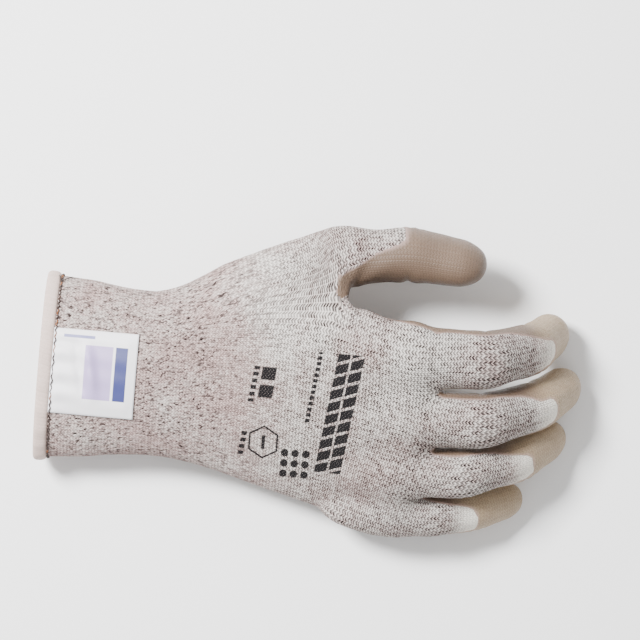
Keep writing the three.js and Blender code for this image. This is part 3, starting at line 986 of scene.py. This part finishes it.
def printed(finish):
    """1 where the back of the hand is printed. The layer holds millimetres from the hem and across."""
    x, y = finish.layer("print")
    gaps = ((y - x * 0.35) * 0.2).fraction().rise(0.72, 0.8)
    line = (x - BAND[0] - (y - BAND[1]) * PRINT_LEAN).abs().rise(0.5, 0.3)
    band = block(x, y, BAND, BAND_SIZE, PRINT_LEAN) * (1 - gaps) * (1 - line)
    dashes = block(x, y, DASHES, DASHES_SIZE, PRINT_LEAN) * (y * 0.42).fraction().rise(0.3, 0.36)
    from_corner = [middle - 1.5 * DOT_PITCH for middle in DOTS]
    off_x, off_y = (((v - low) * (1 / DOT_PITCH)).fraction() - 0.5 for v, low in zip((x, y), from_corner))
    dots = (off_x * off_x + off_y * off_y).rise(0.15, 0.12) * block(x, y, DOTS, (3 * DOT_PITCH,) * 2)
    squares = [block(x, y, middle, SQUARE_SIZE, PRINT_LEAN) for middle in SQUARES]
    out_x, out_y = (x - HEXAGON[0]).abs(), (y - HEXAGON[1]).abs()
    corner = (out_x * 0.5 + out_y * 0.866).most(out_x)
    inner, outer = HEXAGON_LINE
    hexagon = corner.rise(outer + SOFT, outer - SOFT) * corner.rise(inner - SOFT, inner + SOFT)
    bar = block(x, y, HEXAGON, BAR_SIZE)
    rows = [block(x, y, *row, PRINT_LEAN) for row in SMALL_ROWS]
    small = rows[0].most(rows[1]) * (y * 0.36).fraction().rise(0.34, 0.4)
    for mark in (dashes, dots, *squares, hexagon, bar, small):
        band = band.most(mark)
    return band


print("printed marks:", 4 + len(SQUARES) + len(SMALL_ROWS))

# %% [markdown]
# The yarn is a light fibre plied with a darker one, so each stitch comes up pale, dark or between.
# Flecks of the dark fibre show most in the cuff, which isn't stretched. Over the hand the gaps between
# the courses open, and painted shade darkens them and the low parts of each stitch into rows of dark
# dots. The ground also turns from pale to warm, in the cuff most of all.

# %% Knit finish
knit = Finish("knit", Roughness=0.95, Specular_IOR_Level=0.1)
height, pore_shade, chance, wale, course = stitches(knit)
stretch = knit.field("stretch")
highlight_and_tip_tone = knit.field("highlight_and_tip_tone")
drift = knit.field("drift")
fibre = knit.pair((wale * 2.7).floor(), (course * 1.7 + wale * 0.8).floor())
fleck = knit.node("TexWhiteNoise", WHITE_2D, {"Vector": fibre})
flecks = fleck.rise(0.56, 0.28) * (0.4 + chance * 0.6) * (1 - stretch * 0.55)
# painted shade in the pores between stitches and in the low parts of each stitch
gaps = (pore_shade * (0.6 + chance * 0.4)).most(height.rise(0.4, 0.0) * 0.6)
gaps = gaps * (0.66 + stretch * 0.34)
# the dark flecks and the painted shade fade under the painted highlight before the film
dark = flecks.most(gaps) * (1 - highlight_and_tip_tone * 0.85)
warmth = drift * 0.6 + chance * 0.35 + (1 - stretch) * 0.26
ground = knit.mix(warmth.rise(0.1, 1.0), PALE_YARN, WARM_YARN)
# painted highlight on the bare knit just before the film
ground = knit.mix(highlight_and_tip_tone, ground, PAINTED_HIGHLIGHT_YARN)
yarn = knit.mix(dark, ground, DARK_FIBRE_AND_SHADE)
ink = printed(knit) * height.rise(0.0, 0.08)
knit_material = knit.paint(
    Base_Color=knit.mix(ink, yarn, INK),
    Normal=knit.bumps(height, 0.32),
)
print("knit:", len(knit.tree.nodes), "nodes")

# %% [markdown]
# ## The film
# Polyurethane soaks into the knit and dries to a thin, soft skin with a low shine. The stitches still
# show through it, rounded off, so the film takes the knit's own height at a lower strength. Along its
# edge it thins until the knit wins.

# %% Film finish
FILM_COLOUR = (0.19, 0.127, 0.088, 1)
# the film's colour in shade, painted in
FILM_SHADE = (0.095, 0.062, 0.043, 1)
FILM_TIP = (0.52, 0.385, 0.235, 1)
film = Finish("coating", Specular_IOR_Level=0.42)
height, pore_shade, chance, *_ = stitches(film)
drift = film.field("drift")
edge = film.field("coat").rise(1.6, 0.0)
tip = film.field("highlight_and_tip_tone")
# painted shade: the film's shaded colour in slow random blotches
colour = film.mix(drift.rise(0.1, 1.0) * 0.6, FILM_COLOUR, FILM_SHADE)
colour = film.mix(tip * 0.8, colour, FILM_TIP)
# painted shade in the pores between stitches, and a random darker tone for some legs
colour = film.mix(pore_shade * 0.35 + chance * 0.15, colour, FILM_SHADE)
colour = film.mix(edge * 0.45, colour, WARM_YARN)
grain = film.node("TexNoise", {}, {"Scale": 900.0, "Detail": 3.0})
film_material = film.paint(
    Base_Color=colour,
    Roughness=0.42 + chance * 0.1 + edge * 0.25,
    Normal=film.bumps(height * 0.8 + grain * 0.2, 0.2),
)
print("film:", len(film.tree.nodes), "nodes")

# %% [markdown]
# ## Cut into pieces
# The real glove isn't cut, but its joints need pieces that bend. The skin is cut across the middle of
# each bone, so each piece crosses one joint. Each piece is a closed shell: the outer face, the same face
# moved in by the wall of the knit, and a rim that joins them. A modifier could thicken it, but would
# bend the normals at the cuts, and there the shading has to run on from piece to piece.

# %% Where to cut and bend
KNIT_WALL, FILM_WALL = 1.1, 0.25
FILM_RISE, FILM_SINK = 0.3, -0.5  # the film's outer face over the knit's, inside its edge and past it
FILM_PAST = 1.6  # how far past its edge the film's faces go on, inside the knit
WRIST_HALF = 8.0  # the wrist bends from this far before its hinge to this far after


def face_field(values):
    return values[corners].mean(axis=1)


along_face = face_field(along)
# how far from the root each joint's bend would start and end, in mm: the webs lie before it
BENDS = {
    "index": [(12, 21), (23, 38), (48, 65)],
    "middle": [(12, 21), (24, 39), (51, 67)],
    "ring": [(13, 20), (22, 35), (47, 62)],
    "little": [(9.5, 16), (18, 29), (34, 48)],
    "thumb": [(3, 16), (22, 38)],
}
plan = [("palm", "cuff", "palm", None, 0)]
piece_of = np.zeros(len(corners), int)
for f, name in enumerate(ORDER, 1):
    bends = BENDS[name]
    cuts = [(here[1] + there[0]) / 2 for here, there in zip(bends[:-1], bends[1:])]
    index = np.searchsorted(cuts, along_face)
    chain = ["palm"] + [f"{name}_{segment}" for segment in stalls[name]["segments"]]
    for k in range(len(bends)):
        piece_of[(parts == f) & (index == k)] = len(plan)
        plan.append((chain[k + 1], chain[k], chain[k + 1], name, k))
print("pieces", len(plan), [int((piece_of == i).sum()) for i in range(len(plan))])

# %% [markdown]
# `bend` says between which planes a piece turns. The webs lie before them, so they stay with the palm.
# `shell` builds one closed piece and gives it the skin's own normals, so the cuts don't show.

# %% Shells
NOT_PRINTED = -100.0  # a place that no mark reaches


def bend(obj, body_from, body_to, name, k):
    """Works out the two planes where the piece's bend would start and end, but doesn't use them; it only
    bakes the piece's transform.
    """
    if name is None:
        start, end = wrist_at - [WRIST_HALF, 0, 0], wrist_at + [WRIST_HALF, 0, 0]
    else:
        stall = stalls[name]
        if k == 0:
            way = stall_at(stall, 0.0, "way")
            start, end = (stall["pivots"][0] + way * t for t in BENDS[name][0])
        else:
            start, end = (stall_at(stall, float(t), "line") for t in BENDS[name][k])
    tuple(start * MM)
    tuple(end * MM)
    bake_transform(obj)
    return obj


def shell(name, members, outer, inner, material):
    """A closed shell over some of the skin's faces, between two offsets along its normals."""
    quads_here = corners[members]
    used = np.unique(quads_here)
    lookup = np.full(len(skin), -1)
    lookup[used] = np.arange(len(used))
    local = lookup[quads_here]
    n = len(used)
    faces_at = [
        skin[used] + normals[used] * np.broadcast_to(offset, len(skin))[used][:, None]
        for offset in (outer, inner)
    ]
    sides = np.stack([local, np.roll(local, -1, axis=1)], axis=2).reshape(-1, 2)
    keys = {tuple(side) for side in sides}
    rim = [(a, b) for a, b in keys if (b, a) not in keys]
    polygons = [tuple(q) for q in local] + [tuple(q[::-1] + n) for q in local]
    polygons += [(b, a, a + n, b + n) for a, b in rim]
    mesh = build_mesh(name, np.concatenate(faces_at) * MM, polygons)
    uv = corner_uv[members]
    write_uv(mesh, "knit", np.concatenate([uv, uv[:, ::-1], np.zeros((len(rim), 4, 2))]))
    away = np.full((n, 2), NOT_PRINTED)
    on_back = (normals[used, 2] > 0.15) & (part_of[used] == 0)
    place = np.concatenate([np.where(on_back[:, None], (skin - SHIFT)[used, :2], away), away])
    write_uv(mesh, "print", place[read(mesh.loops, "vertex_index", np.int32, 1)])
    for key, values in fields.items():
        attribute = mesh.attributes.new(key, "FLOAT", "POINT")
        attribute.data.foreach_set("value", np.concatenate([values[used]] * 2).astype(np.float32))
    mesh.polygons.foreach_set("use_smooth", np.ones(len(mesh.polygons), bool))
    split = np.concatenate([normals[used], -normals[used]])
    mesh.normals_split_custom_set_from_vertices([tuple(v) for v in split])
    mesh.materials.append(material)
    return add_object(name, mesh)


print("shell and bend are ready")

# %% [markdown]
# Each joint gets a piece of liner and a piece of film. The film's face dives into the knit at its edge,
# so that the edge is a clean line and not a step.

# %% Liner and film
rise = FILM_SINK + (FILM_RISE - FILM_SINK) * smooth(depth_in, -0.6, 0.9)
coated = face_field(depth_in) > -FILM_PAST
for i, (piece, *joint) in enumerate(plan):
    members = piece_of == i
    liner = shell(f"{piece}_liner", members, 0.0, -KNIT_WALL, knit_material)
    coating = shell(f"{piece}_film", members & coated, rise, rise - FILM_WALL, film_material)
    for obj in (liner, coating):
        bend(obj, *joint)
    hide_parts(f"{piece}_knit", *(["cuff_knit"] if piece == "palm" else []))
    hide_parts(f"{piece}_coating")
print("liner and film:", 2 * len(plan), "pieces")

# %% [markdown]
# ## The sewn parts
# The hem, the threads and the label are all grids of points: rings round a ring, or rings along a path.
# One helper makes a mesh from any grid, and counts its UVs up along it for the finishes.

# %% Grids and threads
THREAD_SIDES = 8
CUFF_MIDDLE_Z = 20.0
END_SHARE = 0.2  # a loose end is this share of the thread's radius


def close_up(mesh, fill):
    """Turns all faces outward, after closing open ends if fill is true."""
    work = bmesh.new()
    work.from_mesh(mesh)
    if fill:
        bmesh.ops.holes_fill(work, edges=[edge for edge in work.edges if edge.is_boundary])
    bmesh.ops.recalc_face_normals(work, faces=work.faces)
    work.to_mesh(mesh)
    work.free()


def grid_mesh(name, grid, close_u, close_v, size_uv, fill=False):
    """A mesh over a grid of points, closed round either way, with UVs that count up to size_uv."""
    n, m = grid.shape[:2]
    polygons, uvs = [], []
    for i in range(n if close_u else n - 1):
        for j in range(m if close_v else m - 1):
            a, b = (i + 1) % n, (j + 1) % m
            polygons.append((i * m + j, a * m + j, a * m + b, i * m + b))
            u, v = np.array([i, i + 1]) / n * size_uv[0], np.array([j, j + 1]) / m * size_uv[1]
            uvs += [(u[0], v[0]), (u[1], v[0]), (u[1], v[1]), (u[0], v[1])]
    mesh = build_mesh(name, grid.reshape(-1, 3) * MM, polygons)
    write_uv(mesh, "wrap", uvs)
    mesh.polygons.foreach_set("use_smooth", np.ones(len(mesh.polygons), bool))
    close_up(mesh, fill)
    return add_object(name, mesh)


def thread_tube(name, path, radius, closed):
    """A thread along a path, in mm. Its first side faces away from the middle of the cuff."""
    way = np.roll(path, -1, axis=0) - np.roll(path, 1, axis=0)
    if not closed:
        way[0], way[-1] = path[1] - path[0], path[-1] - path[-2]
    way /= np.linalg.norm(way, axis=1)[:, None]
    out = path - np.array([0, SHIFT[1], CUFF_MIDDLE_Z])
    out[:, 0] = 0
    out -= way * (out * way).sum(axis=1)[:, None]
    out /= np.linalg.norm(out, axis=1)[:, None]
    side = np.cross(way, out)
    turn = np.linspace(0, 2 * math.pi, THREAD_SIDES, endpoint=False)
    size = np.full(len(path), radius)
    if not closed:
        size[[0, -1]] = radius * END_SHARE
    grid = path[:, None] + size[:, None, None] * (
        np.cos(turn)[None, :, None] * out[:, None] + np.sin(turn)[None, :, None] * side[:, None]
    )
    return grid_mesh(name, grid, closed, True, (len(path), 1))


def sew_on(obj, finish, slot, *nodes):
    """The piece gets its finish, moves with the cuff and stands for CAD nodes."""
    obj.data.materials.append(finish.material)
    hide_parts(*nodes)
    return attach(obj, "cuff")


print("grids and threads are ready")

# %% [markdown]
# The raw end of the cuff is wrapped by a soft overlock band. A bevelled curve could stand for it, but
# the band is oval and follows the cuff's own section, so it is a grid: an oval profile carried round the
# cuff, with a slight ripple where the thread pulls. Its thread wraps show as faint slanted ridges.

# %% Hem
HEM_X, HEM_HALF, HEM_SINK, HEM_THICK = -0.1, 2.9, -0.55, 2.0
HEM_COLUMNS, HEM_PROFILE, HEM_POWER = 264, 20, 0.8
HEM_LOWEST = 0.15  # the band is flattened here, where it lies on the table
WRAP_SLANT = 0.35
# the third colour is painted shade for the grooves between wraps, and a darker tone for some wraps
BAND_LIGHT, BAND_WARM, BAND_SHADE_AND_DARK_WRAPS = (0.62, 0.50, 0.45, 1), (0.48, 0.365, 0.32, 1), (0.24, 0.18, 0.15, 1)
angles = np.linspace(0, 360, HEM_COLUMNS, endpoint=False)
turn = np.linspace(0, 2 * math.pi, HEM_PROFILE, endpoint=False)
profile_x = HEM_X + HEM_HALF * full(np.cos(turn), HEM_POWER)
profile_out = HEM_SINK + HEM_THICK * full(np.sin(turn), HEM_POWER)
ripple = 0.12 * np.sin(np.radians(angles) * 23) + 0.1 * np.sin(np.radians(angles) * 9 + 1)
grid = body_point(profile_x[None, :], angles[:, None], profile_out[None, :] + ripple[:, None])
grid[..., 2] = np.maximum(grid[..., 2], HEM_LOWEST)
hem = grid_mesh("hem", grid, True, True, (HEM_COLUMNS / 2, 6))

binding = Finish("binding", Roughness=0.7, Specular_IOR_Level=0.25)
wraps, over = binding.layer("wrap")
wrap = wraps + over * WRAP_SLANT
ridge = wrap.wave()
WHITE_1D = {"noise_dimensions": "1D"}
wrap_chance = binding.node("TexWhiteNoise", WHITE_1D, {"W": wrap.floor()})
cloud = binding.node("TexNoise", {}, {"Scale": 90.0, "Detail": 2.0})
colour = binding.mix(cloud.rise(0.35, 0.7), BAND_LIGHT, BAND_WARM)
# painted shade in the grooves between the thread wraps, and a random darker tone for some wraps
colour = binding.mix(ridge.rise(0.7, 1.0) * 0.12 + wrap_chance * 0.1, colour, BAND_SHADE_AND_DARK_WRAPS)
binding.paint(Base_Color=colour, Normal=binding.bumps(1 - ridge * ridge, 0.06))
sew_on(hem, binding, "binding", "hem_binding")
print("hem:", HEM_COLUMNS * HEM_PROFILE, "faces")

# %% [markdown]
# A dark thread flecked with orange sews the band down. It zigzags along the band's inner edge, and
# climbs over the label that it holds. Its end is left as a short forked tail at the thumb's side.

# %% Stitching
STITCHES, SEAM_X, SEAM_SWAY = 88, 3.3, 0.3
SEAM_RADIUS, TAIL_RADIUS = 0.24, 0.25
SEAM_OUT, SEAM_ARCH, SEAM_OVER_LABEL = 0.5, 0.12, 0.75  # over the knit, more between stitches, more there
TAILS = [(4.6, -14.0), (-1.6, -15.0)]  # how far each tail reaches along x, and round in degrees
TAIL_START = 24  # degrees
THREAD_DARK, THREAD_FLECK, THREAD_GROOVE = (
    (0.035, 0.018, 0.014, 1), (0.32, 0.11, 0.03, 1), (0.01, 0.006, 0.006, 1),
)
zig = np.linspace(0, 360, STITCHES * 4, endpoint=False)
sway = np.array([0, 1, 0, -1])[np.arange(len(zig)) % 4]
seam_y = body_point(SEAM_X, zig)[:, 1] - SHIFT[1]
on_label = smooth(seam_y, -20.5, -18) * smooth(seam_y, 18.5, 16) * (zig < 180)
seam_out = SEAM_OUT + SEAM_ARCH * (sway == 0) + SEAM_OVER_LABEL * on_label
seam_path = body_point(SEAM_X + SEAM_SWAY * sway, zig, seam_out)
seam_path[:, 2] = np.maximum(seam_path[:, 2], SEAM_OUT)
seam = thread_tube("hem_thread", seam_path, SEAM_RADIUS, True)
step = np.linspace(0, 1, 9)
tails = []
for k, (reach, turned) in enumerate(TAILS):
    path = body_point(SEAM_X + reach * step, TAIL_START + turned * step, 0.7 + 0.5 * step * (1 - step))
    tails.append(thread_tube(f"thread_tail_{k}", path, TAIL_RADIUS, False))

thread = Finish("thread", Roughness=0.6)
place, _ = thread.layer("wrap")
bead = thread.node("TexWhiteNoise", WHITE_1D, {"W": (place * 0.25).floor()})
ply = (place * 1.5).wave()
colour = thread.mix(bead.rise(0.62, 0.9), THREAD_DARK, THREAD_FLECK)
thread.paint(Base_Color=thread.mix(ply * 0.4, colour, THREAD_GROOVE), Normal=thread.bumps(ply, 0.08))
sew_on(seam, thread, "thread", "hem_stitching")
for tail in tails:
    sew_on(tail, thread, "thread")
print("stitches:", STITCHES, "tails:", len(tails))

# %% [markdown]
# A rubber yarn is laid into every few courses of the cuff, so that it grips the wrist. On the machine it
# is one yarn, so here it is one coil on the inside of the knit.

# %% Elastic
COIL_TURNS, COIL_START, COIL_PITCH = 5, 8, 7
ELASTIC_RADIUS, ELASTIC_CLEAR = 0.4, 0.75
coil = np.linspace(0, 360 * COIL_TURNS, COIL_TURNS * 90)
coil_path = body_point(COIL_START + COIL_PITCH * coil / 360, coil, -KNIT_WALL - ELASTIC_CLEAR)
coil_piece = thread_tube("elastic_yarn", coil_path, ELASTIC_RADIUS, False)
elastic = Finish("elastic", Roughness=0.7)
place, over = elastic.layer("wrap")
ply = (place * 0.8 + over * 2).wave()
elastic_colour = elastic.mix(ply, (0.62, 0.58, 0.52, 1), (0.30, 0.27, 0.24, 1))
elastic.paint(Base_Color=elastic_colour, Normal=elastic.bumps(ply, 0.1))
sew_on(coil_piece, elastic, "elastic", "cuff_elastic_yarn")
print("elastic turns:", COIL_TURNS)

# %% [markdown]
# ## The label
# A square of white satin is caught in the hem's stitching and sewn at its edges, so it puckers where the
# cuff pulls in under it. Cloth simulation could crumple it, but its edges are all held, so a few waves
# and one fold say the same. They fade out at the edges.

# %% Label
LABEL_SIZE = 36.0
LABEL_TAKEN = 0.985  # the puckers take up a little of its length
LABEL_START, LABEL_SIDE = 2.6, -19.0
LABEL_GRID, LABEL_THICK = 48, 0.28
LABEL_CLEAR, LABEL_LOWEST = 0.75, 0.72  # over the knit at its edge, and anywhere
along_label = LABEL_START + np.linspace(0, LABEL_SIZE * LABEL_TAKEN, LABEL_GRID)
across_label = LABEL_SIDE + np.linspace(0, LABEL_SIZE * LABEL_TAKEN, LABEL_GRID)


def slanting_fold(start, slant, width, height, fade_in, fade_out):
    """A fold that runs slanting over the label and fades out at both ends."""
    fold = height * np.exp(-(((a - start - slant * (1 - b)) / width) ** 2))
    return fold * smooth(b, *fade_in) * smooth(b, *fade_out)


over_back = np.linspace(30, 150, 400)  # degrees round the cuff
top = np.empty((LABEL_GRID, LABEL_GRID, 3))
for i, x in enumerate(along_label):
    y = body_point(x, over_back)[:, 1] - SHIFT[1]
    top[i] = body_point(x, np.interp(across_label, y[::-1], over_back[::-1]), 0)
a, b = np.meshgrid(np.linspace(0, 1, LABEL_GRID), np.linspace(0, 1, LABEL_GRID), indexing="ij")
edge_hold = np.minimum(np.minimum(b, 1 - b) * 9, 1) * np.minimum(np.minimum(1 - a, a + 0.02) * 9, 1)
pucker = 0.55 * np.exp(-a * 3.2) * np.cos(b * 26 + 2 * a)
valley = slanting_fold(0.24, 0.22, 0.06, 1.28, (0.12, 0.4), (0.98, 0.6))
swell = slanting_fold(0.36, 0.2, 0.08, 1.96, (0.1, 0.4), (1.0, 0.6))
loose = 0.9 + 1.6 * pucker - valley + swell
top[..., 2] += np.maximum(LABEL_CLEAR + loose * edge_hold, LABEL_LOWEST)
both = np.concatenate([top, (top - [0, 0, LABEL_THICK])[:, ::-1]], axis=1)
label = grid_mesh("satin_label", both, False, True, (1, 2), fill=True)
print("label stands up to", round(LABEL_CLEAR + float((loose * edge_hold).max()), 2), "mm over the knit")

# %% [markdown]
# Satin has a fine weave and a soft shine. The label carries a plain lilac square and blue bars, printed
# into it.

# %% Label finish
SATIN, LILAC, BLUE = (0.86, 0.845, 0.87, 1), (0.42, 0.33, 0.58, 1), (0.02, 0.027, 0.15, 1)
LABEL_MARKS = [  # middle, size and colour, as shares of the label
    ((0.54, 0.5), (0.32, 0.62), LILAC),
    ((0.80, 0.5), (0.14, 0.62), BLUE),
    ((0.30, 0.90), (0.36, 0.035), (0.2, 0.2, 0.4, 1)),
]
satin = Finish("satin", Roughness=0.42)
x, y = satin.layer("wrap")


def patch_of(x, y, middle, size):
    """1 inside a rectangle of the label."""
    outside_x, outside_y = (x - middle[0]).abs() - size[0] / 2, (y - middle[1]).abs() - size[1] / 2
    return outside_x.most(outside_y).rise(0.004, -0.004)


weave = (x * 240).wave() * 0.5 + (y * 150).wave() * 0.5
colour = SATIN
for middle, size, ink_colour in LABEL_MARKS:
    colour = satin.mix(patch_of(x, y, middle, size), colour, ink_colour)
colour = satin.mix(weave * 0.08, colour, (0.4, 0.38, 0.45, 1))
satin.paint(Base_Color=colour, Normal=satin.bumps(weave, 0.03))
sew_on(label, satin, "label", "label")
print("label marks:", len(LABEL_MARKS))

# %% [markdown]
# ## The table and the light
# The glove lies on a pale table with its palm down. One soft light comes from the left, on the thumb's
# side, low enough to show the stitches. A weak one from the other side and a bright room keep the
# shadows open.

# %% Table and lights
ROOM = 0.64  # strength of the light from all round
bpy.ops.mesh.primitive_plane_add(size=4)
table = bpy.context.object
table.name = "table"
bench = Finish("table", Roughness=0.7)
speck = bench.node("TexNoise", {}, {"Scale": 400.0, "Detail": 2.0})
bench.paint(Base_Color=bench.mix(speck * 0.04, (0.97, 0.97, 0.97, 1), (0.9, 0.9, 0.9, 1)))
table.data.materials.append(bench.material)


def soft_light(name, place, size, power):
    """A square light that faces the glove."""
    light = bpy.data.lights.new(name, "AREA")
    light.size, light.energy = size, power
    obj = bpy.data.objects.new(name, light)
    obj.location = place
    obj.rotation_euler = (Vector((0, 0, 0.02)) - Vector(place)).to_track_quat("-Z", "Y").to_euler()
    bpy.context.scene.collection.objects.link(obj)


soft_light("window", (-0.62, 0.4, 0.95), 0.32, 49)
soft_light("reflector", (0.5, -0.3, 1.0), 1.0, 3)
world = bpy.data.worlds.new("room")
world.use_nodes = True
room = world.node_tree.nodes["Background"]
room.inputs["Color"].default_value = (1, 1, 1, 1)
room.inputs["Strength"].default_value = ROOM
bpy.context.scene.world = world
print("lights: window, reflector and room")

# %% [markdown]
# The camera looks straight down. A long lens from far off keeps the fingertips as large as the cuff, as
# in a catalogue.

# %% Camera
SENSOR = 36.0
FIELD = 266.7  # width of the view where the glove is, mm
EYE, LEVEL = 1600.0, 28.0  # heights of the camera and of the glove's middle
LOOK_AT = (112.06, 29.05)  # from the hem, and across
TURN = 5.0  # degrees
camera = bpy.data.objects.new("camera", bpy.data.cameras.new("camera"))
camera.data.sensor_width = SENSOR
camera.data.lens = SENSOR * (EYE - LEVEL) / FIELD
camera.location = ((LOOK_AT[0] + SHIFT[0]) * MM, (LOOK_AT[1] + SHIFT[1]) * MM, EYE * MM)
camera.rotation_euler = (0, 0, math.radians(TURN))
bpy.context.scene.collection.objects.link(camera)
bpy.context.scene.camera = camera
print("lens", round(camera.data.lens), "mm")
